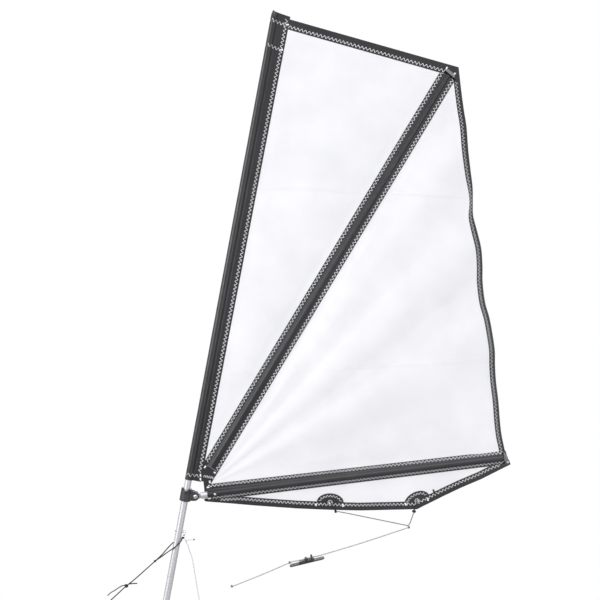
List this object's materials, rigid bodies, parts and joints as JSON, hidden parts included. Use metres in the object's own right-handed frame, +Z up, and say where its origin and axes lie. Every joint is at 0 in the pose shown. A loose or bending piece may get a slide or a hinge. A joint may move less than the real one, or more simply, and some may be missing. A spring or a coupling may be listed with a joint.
{
  "type": "canoe sail",
  "caption": "Four-sided canoe sail with mast, folding boom and sprit in sewn pockets, gooseneck, bridle, sheet with cam cleat, and stays.",
  "frame": {"origin": "centre of the mast foot's flat bottom", "axes": "+Z up the mast, +X aft towards the clew, the sail in the plane y = 0"},
  "size_m": [1.4009, 0.0608, 2.4474],
  "materials": {
    "aluminium_tube": "satin, drawn tube",
    "black_plastic": "moulded nylon",
    "stainless_steel": "polished stainless steel",
    "sailcloth": "white coated polyester sailcloth",
    "trim_cloth": "charcoal polyester, sewn",
    "webbing": "grey webbing",
    "black_cord": "braided cord",
    "grey_cord": "braided cord, grey with dark flecks"
  },
  "bodies": {
    "mast": {"mast_lower_tube": "aluminium_tube", "mast_upper_tube": "aluminium_tube", "mast_stop_ring": "black_plastic", "mast_foot_plug": "black_plastic", "mast_top_cap": "black_plastic", "mast_eye": "stainless_steel", "mast_ring": "stainless_steel", "ring_knot": "black_cord", "black_stay": "black_cord", "light_stay": "grey_cord", "light_stay_tail": "grey_cord"},
    "luff": {"gooseneck_collar": "black_plastic", "gooseneck_pin": "stainless_steel", "gooseneck_washer_near": "stainless_steel", "gooseneck_washer_far": "stainless_steel", "gooseneck_nut": "stainless_steel", "luff_sleeve": "trim_cloth", "head_tape": "trim_cloth", "upper_panel": "sailcloth", "tack_patch": "trim_cloth"},
    "sprit": {"sprit_tube": "aluminium_tube", "sprit_heel_cap": "black_plastic", "sprit_peak_cap": "black_plastic", "sprit_pocket": "trim_cloth", "peak_patch": "trim_cloth", "peak_tab": "webbing", "tack_rivet": "stainless_steel"},
    "boom": {"boom_tube": "aluminium_tube", "boom_end_fitting": "aluminium_tube", "boom_end_plug": "black_plastic", "boom_pocket": "trim_cloth", "boom_rivet": "stainless_steel", "lower_panel": "sailcloth", "leech_tape": "trim_cloth", "foot_skirt": "sailcloth", "foot_tape": "trim_cloth", "half_moon_fore_near": "trim_cloth", "half_moon_fore_far": "trim_cloth", "half_moon_aft_near": "trim_cloth", "half_moon_aft_far": "trim_cloth", "eyelet_fore": "stainless_steel", "eyelet_aft": "stainless_steel", "foot_tab": "trim_cloth", "clew_patch": "trim_cloth", "clew_rivet": "stainless_steel", "clew_tab": "webbing", "bridle": "grey_cord", "sheet": "grey_cord", "cleat_plate": "aluminium_tube", "cleat_base": "black_plastic", "cleat_fairlead": "black_plastic", "cleat_bolt_fore": "stainless_steel", "cleat_bolt_aft": "stainless_steel", "cam_screw_near": "stainless_steel", "cam_screw_far": "stainless_steel"},
    "cam_near": {"cam_near": "black_plastic"},
    "cam_far": {"cam_far": "black_plastic"}
  },
  "joints": [
    {"name": "sail_swing", "type": "hinge", "parent": "mast", "child": "luff", "pos_m": [0, 0, 0.631], "axis": [0, 0, 1], "range_deg": [-90, 90]},
    {"name": "boom_fold", "type": "hinge", "parent": "luff", "child": "boom", "pos_m": [0.0375, 0, 0.631], "axis": [0, -1, 0], "range_deg": [0, 52], "deforming": ["upper_panel", "lower_panel", "head_tape", "leech_tape", "tack_patch", "luff_sleeve", "sprit_pocket", "boom_pocket"]},
    {"name": "sprit_fold", "type": "hinge", "parent": "luff", "child": "sprit", "pos_m": [0.0375, 0, 0.631], "axis": [0, -1, 0], "range_deg": [0, 18.01]},
    {"name": "cam_near_turn", "type": "hinge", "parent": "boom", "child": "cam_near", "pos_m": [0.48153, -0.0085, 0.47705], "axis": [-0.4067, 0, 0.9135], "range_deg": [0, 45], "stiffness_Nm_per_rad": 0.02, "springref_deg": -17.19},
    {"name": "cam_far_turn", "type": "hinge", "parent": "boom", "child": "cam_far", "pos_m": [0.48153, 0.0085, 0.47705], "axis": [0.4067, 0, -0.9135], "range_deg": [0, 45], "stiffness_Nm_per_rad": 0.02, "springref_deg": -17.19}
  ],
  "couplings": [
    {"joint": "sprit_fold", "follows": "boom_fold", "ratio": 0.34615}
  ]
}
